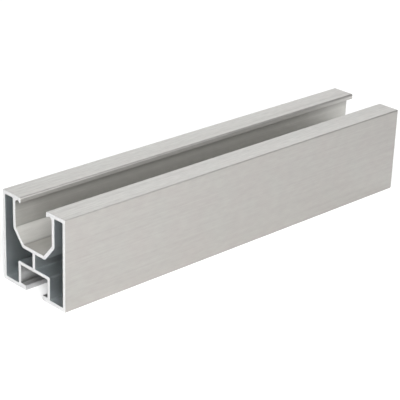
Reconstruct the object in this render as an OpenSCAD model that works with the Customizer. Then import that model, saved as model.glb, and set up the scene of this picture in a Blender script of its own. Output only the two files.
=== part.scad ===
// Aluminium mounting rail: one extruded length with a lipped channel along its top,
// a bolt slot along its underside and a closed chamber on each side between them.
// The length runs along X, the width along Y and the height along Z.
// The origin is at the middle of the underside.

/* [Stock] */
// Length that the rail is sawn to
rail_length = 200; // [50:10:6000]
// Overall width of the section
rail_width = 40; // [38:0.5:60]
// Overall height of the section
rail_height = 40; // [37:0.5:60]

/* [Walls] */
// Thickness of the outer side walls
side_wall = 1.5; // [1.2:0.1:2.5]
// Thickness of the top flanges over the chambers
top_wall = 1.6; // [1.2:0.1:2.5]
// Thickness of the bottom flanges under the chambers
bottom_wall = 1.8; // [1.2:0.1:3]
// Thickness of the walls round the top channel
channel_wall = 1.5; // [1.2:0.1:2.5]
// Thickness of the walls round the bolt slot
slot_wall = 1.5; // [1.2:0.1:2.5]
// Thickness of the web that joins the channel to the bolt slot
web_wall = 1.6; // [1.2:0.1:3]

/* [Top channel] */
// Clear width between the channel's upright walls
channel_width = 23.5; // [22.5:0.5:26]
// Depth from the top face to the channel's floor
channel_depth = 20; // [16:0.5:22]
// Width of the flat floor between the slopes
floor_width = 13; // [8:0.5:16]
// Height of the slopes above the floor
slope_height = 6; // [4:0.5:8]
// Opening between the lips
mouth_width = 16.6; // [14:0.2:17]
// Thickness of a lip beside its tooth
lip_wall = 1.7; // [1.4:0.1:2.4]
// Drop of the tooth below its lip
tooth_drop = 0.7; // [0.3:0.1:1]
// Width of the tooth at its tip
tooth_width = 0.6; // [0.5:0.1:1]
// Width of the slope behind the tooth
tooth_slope = 0.8; // [0.4:0.1:1]

/* [Bolt slot] */
// Clear width for the bolt's hexagon head
slot_width = 17.4; // [14:0.2:19]
// Clear height for the bolt's head
slot_height = 8.1; // [5:0.1:9]
// Opening for the bolt's shank
slot_mouth = 11; // [8:0.5:12]
// Thickness of the lips that hold the bolt's head
foot_wall = 2.3; // [1.8:0.1:3]

/* [Edges] */
// Radius of the outer corners
corner_round = 0.5; // [0.2:0.1:1]
// Radius of a channel lip's upper edge
lip_round = 0.8; // [0.3:0.1:1.2]
// Radius of the tooth's tip
tooth_round = 0.3; // [0.1:0.1:0.5]
// Radius under a channel lip, where it meets the wall
lip_fillet = 1.6; // [0.4:0.1:1.6]
// Radius inside the channel's bends
bend_round = 0.4; // [0.2:0.1:2]
// Radius of the edges of a bolt slot lip
foot_round = 0.2; // [0.1:0.1:0.8]
// Radius in the corners of the bolt slot
slot_fillet = 0.3; // [0.1:0.1:0.8]
// Radius of the bolt slot's shoulders in the chambers
shoulder_round = 0.8; // [0.3:0.1:1.4]
// Radius in the upper corners of the chambers
chamber_fillet = 0.4; // [0.2:0.1:1]
// Radius in the lower corners of the chambers and along the web
web_fillet = 0.2; // [0.1:0.1:0.6]

/* [Hidden] */
$fn = 48;
bend_steps = 6;
overrun = 1;

half_width = rail_width / 2;
half_mouth = mouth_width / 2;
half_channel = channel_width / 2;
half_floor = floor_width / 2;
half_slot = slot_width / 2;
half_slot_mouth = slot_mouth / 2;
half_web = web_wall / 2;

// Heights inside the channel and the bolt slot.
floor_level = rail_height - channel_depth;
slope_level = floor_level + slope_height;
lip_level = rail_height - lip_wall;
tooth_level = lip_level - tooth_drop;
slot_level = foot_wall + slot_height;

// Faces of the chambers.
chamber_side = half_width - side_wall;
chamber_top = rail_height - top_wall;
slot_side = half_slot + slot_wall;
slot_roof = slot_level + slot_wall;
channel_side = half_channel + channel_wall;
channel_under = floor_level - channel_wall;

// The chamber side of a bend lies one wall further out, and turns about the same centre.
slope_turn = atan2(half_channel - half_floor, slope_height);
floor_turn = 90 - slope_turn;
outer_slope_level = slope_level - channel_wall * tan(slope_turn / 2);
outer_half_floor = half_floor + channel_wall * tan(floor_turn / 2);
outer_bend_round = bend_round + channel_wall;

function unit(v) = v / norm(v);

function turned(v, angle) = [
    v.x * cos(angle) - v.y * sin(angle),
    v.x * sin(angle) + v.y * cos(angle)
];

// Points of the arc that rounds a corner between the points before and after it.
function bend(before, corner, after, radius) =
    let (
        back = unit(before - corner),
        ahead = unit(after - corner),
        half_angle = acos(back * ahead) / 2,
        centre = corner + unit(back + ahead) * radius / sin(half_angle),
        start = corner + back * radius / tan(half_angle) - centre,
        turn = sign(cross(-back, ahead)) * (180 - 2 * half_angle)
    )
    [for (i = [0 : bend_steps]) centre + turned(start, turn * i / bend_steps)];

// What lies between a square corner and the quarter circle in it; turned to its two sides.
module corner_sliver(corner, radius, turn) {
    translate(corner)
        rotate(turn)
            difference() {
                square(radius);
                translate([radius, radius]) circle(radius);
            }
}

// The children and their mirror images on the other side of the rail.
module both_sides() {
    children();
    mirror([1, 0]) children();
}

// Outer outline with its rounded corners.
module outline() {
    difference() {
        translate([-half_width, 0]) square([rail_width, rail_height]);
        both_sides() {
            corner_sliver([half_width, 0], corner_round, 90);
            corner_sliver([half_width, rail_height], corner_round, 180);
        }
    }
}

// Lipped channel along the top: an open mouth, upright walls, slopes and a flat floor.
module top_channel() {
    lip_corner = [half_channel, lip_level];
    slope_top = [half_channel, slope_level];
    slope_foot = [half_floor, floor_level];
    floor_middle = [0, floor_level];
    half_outline = concat(
        [
            [half_mouth, rail_height + overrun],
            [half_mouth, tooth_level],
            [half_mouth + tooth_width, tooth_level],
            [half_mouth + tooth_width + tooth_slope, lip_level],
            lip_corner
        ],
        bend(lip_corner, slope_top, slope_foot, bend_round),
        bend(slope_top, slope_foot, floor_middle, bend_round)
    );
    last = len(half_outline) - 1;
    difference() {
        union() {
            polygon(concat(
                half_outline,
                [for (i = [last : -1 : 0]) [-half_outline[i].x, half_outline[i].y]]
            ));
            both_sides() {
                corner_sliver([half_mouth, rail_height], lip_round, 270);
                corner_sliver([half_mouth, tooth_level], tooth_round, 0);
            }
        }
        both_sides() corner_sliver(lip_corner, lip_fillet, 180);
    }
}

// Slot along the underside that holds a hexagon bolt by its head.
module bolt_slot() {
    difference() {
        union() {
            translate([-half_slot_mouth, -overrun]) square([slot_mouth, slot_level + overrun]);
            translate([-half_slot, foot_wall]) square([slot_width, slot_height]);
            both_sides() {
                corner_sliver([half_slot_mouth, 0], foot_round, 0);
                corner_sliver([half_slot_mouth, foot_wall], foot_round, 270);
            }
        }
        both_sides() {
            corner_sliver([half_slot, foot_wall], slot_fillet, 90);
            corner_sliver([half_slot, slot_level], slot_fillet, 180);
        }
    }
}

// Closed hollow on one side, between the outer walls, the channel, the web and the bolt slot.
module chamber() {
    wall_top = [channel_side, chamber_top];
    slope_top = [channel_side, outer_slope_level];
    slope_foot = [outer_half_floor, channel_under];
    web_top = [half_web, channel_under];
    difference() {
        union() {
            polygon(concat(
                [[chamber_side, chamber_top], wall_top],
                bend(wall_top, slope_top, slope_foot, outer_bend_round),
                bend(slope_top, slope_foot, web_top, outer_bend_round),
                [
                    web_top,
                    [half_web, slot_roof],
                    [slot_side, slot_roof],
                    [slot_side, bottom_wall],
                    [chamber_side, bottom_wall]
                ]
            ));
            corner_sliver([slot_side, slot_roof], shoulder_round, 180);
        }
        corner_sliver([chamber_side, chamber_top], chamber_fillet, 180);
        corner_sliver(wall_top, chamber_fillet, 270);
        corner_sliver(web_top, web_fillet, 270);
        corner_sliver([half_web, slot_roof], web_fillet, 0);
        corner_sliver([slot_side, bottom_wall], web_fillet, 0);
        corner_sliver([chamber_side, bottom_wall], web_fillet, 90);
    }
}

// Cross-section of the rail, seen from its end.
module section() {
    difference() {
        outline();
        top_channel();
        bolt_slot();
        both_sides() chamber();
    }
}

module rail_profile() {
    color("silver")
        rotate([90, 0, 90])
            linear_extrude(rail_length, center = true)
                section();
}

rail_profile();
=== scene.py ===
from math import copysign, radians

import bmesh
import bpy
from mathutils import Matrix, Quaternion, Vector


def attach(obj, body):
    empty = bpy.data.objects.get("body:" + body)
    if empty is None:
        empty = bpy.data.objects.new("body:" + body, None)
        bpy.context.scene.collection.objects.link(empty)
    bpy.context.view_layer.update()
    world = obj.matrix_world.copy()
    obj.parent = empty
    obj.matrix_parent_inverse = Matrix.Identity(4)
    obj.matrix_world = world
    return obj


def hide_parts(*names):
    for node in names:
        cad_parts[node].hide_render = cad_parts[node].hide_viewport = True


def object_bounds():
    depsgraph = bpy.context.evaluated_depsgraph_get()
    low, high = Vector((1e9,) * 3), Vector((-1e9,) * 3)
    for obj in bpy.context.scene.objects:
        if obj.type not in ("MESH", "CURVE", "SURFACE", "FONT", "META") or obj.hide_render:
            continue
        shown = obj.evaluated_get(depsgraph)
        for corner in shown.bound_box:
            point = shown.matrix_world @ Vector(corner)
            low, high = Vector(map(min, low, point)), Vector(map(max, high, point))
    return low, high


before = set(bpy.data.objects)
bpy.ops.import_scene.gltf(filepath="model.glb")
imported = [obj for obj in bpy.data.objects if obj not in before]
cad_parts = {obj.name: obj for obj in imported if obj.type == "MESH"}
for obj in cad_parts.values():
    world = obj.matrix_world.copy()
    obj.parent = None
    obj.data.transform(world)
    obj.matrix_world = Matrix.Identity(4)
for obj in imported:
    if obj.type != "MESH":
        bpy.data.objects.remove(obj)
cad_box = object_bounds()

MM = 0.001

# The sawn piece: its length, the broken edge of its cuts, and what counts as flat, sharp or an end
HALF_LENGTH = cad_box[1][0]
DEBURR = 0.05 * MM
CUT_DEPTH = 0.6 * DEBURR
MERGE_DISTANCE = 0.0005 * MM
FLAT_ANGLE = radians(0.2)
SHARP_ANGLE = radians(28)
FACES_THE_END = 0.99
FACES_SIDEWAYS = 0.5

# Middles of the walls round the hollows, which part one skin from the next
CHANNEL_EDGE = 12.5 * MM
CHANNEL_FLOOR = 19.25 * MM
SLOPE_FOOT = 6.9 * MM
SLOPE_RISE = 1.14
SLOT_EDGE = 9.45 * MM
SLOT_ROOF = 11.15 * MM
FOOT_UNDER = 1.0 * MM
CHAMBER_EDGE = 19.2 * MM
CHAMBER_ROOF = 39.2 * MM

# Faces given painted light, a lighter colour than the skin: the lips of the top channel, and the tips of the
# slot's feet
LIP_BACK = 9.0 * MM
LIP_FOOT = 37.4 * MM
LIP_TOP = 39.62 * MM
TIP_BACK = 5.7 * MM
TIP_TOP = 2.25 * MM

# A thin painted dark reflection along the lip's upper corner: distance from the middle and height, reach,
# depth of tone
REFLECTION_LINE_PLACE = (8.35 * MM, 39.85 * MM)
REFLECTION_LINE_REACH = 0.4 * MM
REFLECTION_LINE_DEPTH = 0.25

# The strip below it, a painted highlight: gain at the middle of the rail, and loss of gain per metre along it
HIGHLIGHT_PLACE = (8.35 * MM, 39.4 * MM)
HIGHLIGHT_REACH = 0.45 * MM
HIGHLIGHT_GAIN = 0.06
HIGHLIGHT_FADE = 4.0

# The faint band on each flange where the channel wall joins it
FLANGE_TOP = 39.9 * MM
SEAM_MIDDLE = 12.2 * MM
SEAM_REACH = 2.4 * MM
SEAM_DEPTH = 0.05

# Inner corners of the section darkened with painted shade: distance from the middle, height, reach, depth of
# tone
SHADED_CORNERS = (
    (11.75 * MM, 37.0 * MM, 4.0 * MM, 0.38),
    (11.75 * MM, 26.0 * MM, 0.7 * MM, 0.15),
    (6.5 * MM, 20.0 * MM, 0.8 * MM, 0.30),
    (8.7 * MM, 2.3 * MM, 0.8 * MM, 0.50),
)

# Painted shade that dulls the floors of the two chambers, in the same terms
SHADED_CHAMBER_FLOORS = (
    (14.3 * MM, 0.0, 9.0 * MM, 0.14),
    (2.5 * MM, 12.0 * MM, 5.5 * MM, 0.18),
)

# Grains: cells per metre along the rail, across it and upwards, and their detail
LINES = (4, 1500, 900), 3
RUBS = (200, 1100, 600), 2
HAIRLINES = (8, 4200, 3400), 2
BANDS = (3, 240, 240), 2
CLOUDS = (90, 90, 90), 2
SAW_LINES = (1, 150, 2300), 2
SAW_TILT = radians(24)

# How much of each grain shows in the tone, from dark at 0 to light at 1
BASE_TONE = -0.075
HAIRLINE_TONE = 0.3
LINE_TONE = 0.22
RUB_TONE = 0.35
BAND_TONE = 0.18
CLOUD_TONE = 0.1
FLANGE_TONE = 0.6

# Roughness of the smoothest skin, and what the grain, the saw cuts and the channel's duller skin add
BASE_ROUGHNESS = 0.27
GRAIN_ROUGHNESS = 0.06
CUT_ROUGHNESS = 0.15
CHANNEL_ROUGHNESS = 0.2
RELIEF_STRENGTH = 0.15
RELIEF_HEIGHT = 0.02 * MM

# Colours of the skin outside, of the hollows, lips and tips (lighter than the skin as painted light, and
# bluish in the chambers), and of the sawn metal
SKIN_DARK = (0.283, 0.274, 0.263, 1)
SKIN_LIGHT = (0.46, 0.446, 0.426, 1)
WARM_DRIFT = (1.02, 0.995, 1.0, 1)
COOL_DRIFT = (0.98, 1.005, 1.0, 1)
LIP_DARK = (0.347, 0.341, 0.327, 1)
LIP_LIGHT = (0.563, 0.551, 0.533, 1)
CHANNEL_DARK = (0.385, 0.378, 0.362, 1)
CHANNEL_LIGHT = (0.628, 0.621, 0.591, 1)
TIP_DARK = (0.383, 0.383, 0.383, 1)
TIP_LIGHT = (0.608, 0.608, 0.608, 1)
SLOT_DARK = (0.536, 0.536, 0.536, 1)
SLOT_LIGHT = (0.895, 0.895, 0.895, 1)
CHAMBER_DARK = (0.619, 0.656, 0.667, 1)
CHAMBER_LIGHT = (0.805, 0.843, 0.855, 1)
SAWN_DARK = (0.554, 0.554, 0.554, 1)
SAWN_LIGHT = (0.682, 0.682, 0.682, 1)

# The floor, a hair below the rail's feet
FLOOR_COLOUR = (0.9, 0.9, 0.9, 1)
FLOOR_ROUGHNESS = 0.9
FLOOR_REACH = 20.0
FLOOR_DROP = 0.02 * MM

# Soft lights: name, place, target, width and height, power in watts, tint
WHITE = (1, 1, 1)
COOL_WHITE = (0.975, 0.992, 1.0)
RAIL_MIDDLE = (0, 0, 0.02)
LIGHTS = (
    ("key", (-0.461, -0.461, 0.304), RAIL_MIDDLE, (0.4, 0.4), 6.9, WHITE),
    ("front", (-0.9, -1.5, 0.95), (-0.9, 0, 0.95), (3.6, 1.8), 37.7, WHITE),
    ("front_right", (1.35, -1.5, 1.4), (1.35, 0, 1.4), (0.9, 0.9), 4.7, WHITE),
    ("top", (0, 0, 1.8), (0, 0, 0), (3.0, 3.0), 12.5, WHITE),
    ("back", (0.938, 0.938, 0.895), RAIL_MIDDLE, (1.0, 1.0), 4.6, COOL_WHITE),
)
SURROUND = 0.445

# The camera, from the lines of the photographed rail
CAMERA_PLACE = Vector((-409.49, -410.17, 266.80)) * MM
CAMERA_TARGET = Vector((-13.97, -5.31, 20.0)) * MM
CAMERA_ROLL = radians(2.155)
CAMERA_LENS = 128.315
CAMERA_SENSOR = 36
CAMERA_RANGE = (0.01, 20)


class Shade:
    """A shader socket. Arithmetic on it adds Math nodes, and add() makes any other node."""

    def __init__(self, tree, socket=None):
        self.tree = tree
        self.socket = socket

    def add(self, kind, settings=None, output=0, **inputs):
        """A new node's output. An input is called by its name, with _ for a space, or by i and its number."""
        node = self.tree.nodes.new("ShaderNode" + kind)
        for name, value in (settings or {}).items():
            setattr(node, name, value)
        for name, value in inputs.items():
            numbered = name[0] == "i" and name[1:].isdigit()
            socket = node.inputs[int(name[1:]) if numbered else name.replace("_", " ")]
            if isinstance(value, Shade):
                self.tree.links.new(value.socket, socket)
            else:
                socket.default_value = value
        return Shade(self.tree, node.outputs[output] if node.outputs else None)

    def math(self, operation, first, second=0.0, clamp=False):
        return self.add("Math", {"operation": operation, "use_clamp": clamp}, i0=first, i1=second)

    def __add__(self, other):
        return self.math("ADD", self, other)

    def __sub__(self, other):
        return self.math("SUBTRACT", self, other)

    def __rsub__(self, other):
        return self.math("SUBTRACT", other, self)

    def __mul__(self, other):
        return self.math("MULTIPLY", self, other)

    __radd__ = __add__
    __rmul__ = __mul__

    def __abs__(self):
        return self.math("ABSOLUTE", self)

    def clamped(self):
        return self.math("ADD", self, clamp=True)

    def over(self, limit):
        return self.math("GREATER_THAN", self, limit)

    def under(self, limit):
        return self.math("LESS_THAN", self, limit)

    def near(self, height, place, reach):
        """1 at a place in the section, falling to 0 at its reach; this is the distance from the middle."""
        away = self.add("CombineXYZ", X=self - place[0], Y=height - place[1])
        gap = self.add("VectorMath", {"operation": "LENGTH"}, output="Value", Vector=away)
        return self.math("SUBTRACT", 1.0, gap * (1 / reach), clamp=True)

    def painted_shading(self, height, shaded_places):
        """1 away from painted shade, and less near the places in the section given painted shade."""
        unshaded = 1.0
        for across, up, reach, depth in shaded_places:
            unshaded = unshaded - self.near(height, (across, up), reach) * depth
        return unshaded

    def noise(self, place, scale, detail, turn=(0, 0, 0)):
        stretched = self.add("Mapping", {"vector_type": "POINT"}, Vector=place, Rotation=turn, Scale=scale)
        return self.add("TexNoise", {"noise_dimensions": "3D"}, Vector=stretched, Scale=1.0, Detail=detail)

    def blend(self, low, high):
        """The colour low where this is 0 and high where it is 1."""
        return self.add("Mix", {"data_type": "RGBA"}, output=2, Factor=self, i6=low, i7=high)

    def tinted(self, colour):
        return self.add("VectorMath", {"operation": "MULTIPLY"}, i0=self, i1=colour)

    def scaled(self, factor):
        return self.add("VectorMath", {"operation": "SCALE"}, Vector=self, Scale=factor)


def new_material(name):
    material = bpy.data.materials.new(name)
    material.use_nodes = True
    material.node_tree.nodes.clear()
    return material, Shade(material.node_tree)


def hollows(side, height):
    """Where the skin is in the top channel, in the bolt slot, and in a closed chamber."""
    above_floor = height - CHANNEL_FLOOR
    above_slope = above_floor - (side - SLOPE_FOOT) * SLOPE_RISE
    channel = side.under(CHANNEL_EDGE) * above_floor.over(0) * height.under(CHAMBER_ROOF) \
        * above_slope.over(0)
    slot = side.under(SLOT_EDGE) * height.under(SLOT_ROOF) * height.over(FOOT_UNDER)
    shell = side.under(CHAMBER_EDGE) * height.under(CHAMBER_ROOF) * height.over(FOOT_UNDER)
    chamber = shell * (1 - channel) * (1 - slot)
    return channel, slot, chamber


def anodised_aluminium():
    material, shade = new_material("anodised_aluminium")
    place = shade.add("TexCoord", output="Object")
    x, y, z = (shade.add("SeparateXYZ", output=axis, Vector=place) for axis in "XYZ")
    side = abs(y)

    # The faces that differ from the plain skin
    channel, slot, chamber = hollows(side, z)
    lip = side.under(LIP_BACK) * z.over(LIP_FOOT) * z.under(LIP_TOP)
    tip = side.under(TIP_BACK) * z.under(TIP_TOP)
    flange = z.over(FLANGE_TOP)
    cut = abs(x).over(HALF_LENGTH - CUT_DEPTH)

    # Drawn lines and hairlines run the whole length, short rubs lie along them, and the saw left its marks
    lines = shade.noise(place, *LINES)
    rubs = shade.noise(place, *RUBS)
    hairlines = shade.noise(place, *HAIRLINES)
    bands = shade.noise(place, *BANDS)
    clouds = shade.noise(place, *CLOUDS)
    saw_lines = shade.noise(place, *SAW_LINES, turn=(SAW_TILT, 0, 0))
    tone = BASE_TONE + hairlines * HAIRLINE_TONE + lines * LINE_TONE + rubs * RUB_TONE \
        + bands * BAND_TONE + clouds * CLOUD_TONE + flange * (lines + rubs - 1) * FLANGE_TONE

    # Painted shade darkens the inner corners and the chambers' floors, a painted dark reflection lines each
    # lip's upper corner, and a painted highlight brightens the strip below it towards one end
    unshaded = side.painted_shading(z, SHADED_CORNERS)
    floor_shading = side.painted_shading(z, SHADED_CHAMBER_FLOORS)
    painted_lip_reflection = side.near(z, REFLECTION_LINE_PLACE, REFLECTION_LINE_REACH) * REFLECTION_LINE_DEPTH
    lip_highlight = 1 + side.near(z, HIGHLIGHT_PLACE, HIGHLIGHT_REACH) * (HIGHLIGHT_GAIN - x * HIGHLIGHT_FADE)
    seam = (1 - abs(side - SEAM_MIDDLE) * (1 / SEAM_REACH)).clamped() * flange

    # The skin's tint drifts a little, and each hollow, lip and tip has a lighter copy of the skin's colour as
    # painted light
    skin = tone.blend(SKIN_DARK, SKIN_LIGHT).tinted(clouds.blend(WARM_DRIFT, COOL_DRIFT))
    skin = skin.scaled(1 - seam * SEAM_DEPTH - painted_lip_reflection)
    skin = channel.blend(skin, tone.blend(CHANNEL_DARK, CHANNEL_LIGHT).scaled(unshaded))
    skin = slot.blend(skin, tone.blend(SLOT_DARK, SLOT_LIGHT).scaled(unshaded))
    skin = chamber.blend(skin, tone.blend(CHAMBER_DARK, CHAMBER_LIGHT).scaled(floor_shading))
    skin = lip.blend(skin, tone.blend(LIP_DARK, LIP_LIGHT).scaled(lip_highlight))
    skin = tip.blend(skin, tone.blend(TIP_DARK, TIP_LIGHT))
    colour = cut.blend(skin, saw_lines.blend(SAWN_DARK, SAWN_LIGHT))

    rough = BASE_ROUGHNESS + (lines + rubs + bands) * GRAIN_ROUGHNESS \
        + cut * CUT_ROUGHNESS + channel * CHANNEL_ROUGHNESS
    relief = (lines + rubs + hairlines) * (1 - cut) + saw_lines * cut
    bump = shade.add("Bump", Strength=RELIEF_STRENGTH, Distance=RELIEF_HEIGHT, Height=relief)
    shader = shade.add("BsdfPrincipled", Base_Color=colour, Metallic=1.0, Roughness=rough, Normal=bump)
    shade.add("OutputMaterial", Surface=shader)
    return material


def pale_floor():
    material, shade = new_material("pale_floor")
    shader = shade.add("BsdfPrincipled", Base_Color=FLOOR_COLOUR, Roughness=FLOOR_ROUGHNESS)
    shade.add("OutputMaterial", Surface=shader)
    return material


def placed(name, data):
    thing = bpy.data.objects.new(name, data)
    bpy.context.collection.objects.link(thing)
    return thing


def finished_mesh(name, shape):
    mesh = bpy.data.meshes.new(name)
    shape.to_mesh(mesh)
    shape.free()
    return placed(name, mesh)


def aimed(thing, place, target):
    thing.location = place
    thing.rotation_mode = "QUATERNION"
    thing.rotation_quaternion = (Vector(target) - Vector(place)).to_track_quat("-Z", "Y")


def sawn_rail():
    """The rail with the edges of its two saw cuts broken."""
    shape = bmesh.new()
    shape.from_mesh(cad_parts["rail_profile"].data)
    bmesh.ops.remove_doubles(shape, verts=shape.verts, dist=MERGE_DISTANCE)
    bmesh.ops.dissolve_limit(shape, angle_limit=FLAT_ANGLE, verts=shape.verts, edges=shape.edges)
    cuts = [face for face in shape.faces if abs(face.normal.x) > FACES_THE_END]
    bmesh.ops.inset_region(shape, faces=cuts, thickness=DEBURR, use_boundary=True, use_even_offset=True)
    for vert in shape.verts:
        if any(abs(face.normal.x) < FACES_SIDEWAYS for face in vert.link_faces):
            vert.co.x -= copysign(DEBURR, vert.co.x)
    for face in shape.faces:
        face.smooth = True
    shape.normal_update()
    for edge in shape.edges:
        edge.smooth = edge.calc_face_angle(0) < SHARP_ANGLE
    piece = finished_mesh("rail", shape)
    normals = piece.modifiers.new("normals", "WEIGHTED_NORMAL")
    normals.keep_sharp = True
    normals.weight = 100
    return piece


def studio_floor():
    shape = bmesh.new()
    bmesh.ops.create_grid(shape, x_segments=1, y_segments=1, size=FLOOR_REACH)
    ground = finished_mesh("floor", shape)
    ground.location.z = -FLOOR_DROP
    return ground


def soft_light(name, place, target, size, power, tint):
    light = bpy.data.lights.new(name, "AREA")
    light.shape = "RECTANGLE"
    light.size, light.size_y = size
    light.energy = power
    light.color = tint
    aimed(placed(name, light), place, target)


def pale_surround():
    world = bpy.data.worlds.new("studio")
    world.use_nodes = True
    background = world.node_tree.nodes["Background"]
    background.inputs["Color"].default_value = (*WHITE, 1)
    background.inputs["Strength"].default_value = SURROUND
    return world


def studio_camera():
    lens = bpy.data.cameras.new("camera")
    lens.lens = CAMERA_LENS
    lens.sensor_width = CAMERA_SENSOR
    lens.clip_start, lens.clip_end = CAMERA_RANGE
    camera = placed("camera", lens)
    aimed(camera, CAMERA_PLACE, CAMERA_TARGET)
    camera.rotation_quaternion = camera.rotation_quaternion @ Quaternion((0, 0, 1), CAMERA_ROLL)
    return camera


rail = sawn_rail()
rail.data.materials.append(anodised_aluminium())
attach(rail, "root")
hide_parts("rail_profile")

floor = studio_floor()
floor.data.materials.append(pale_floor())

for light in LIGHTS:
    soft_light(*light)

scene = bpy.context.scene
scene.world = pale_surround()
scene.camera = studio_camera()
scene.view_settings.view_transform = "Standard"
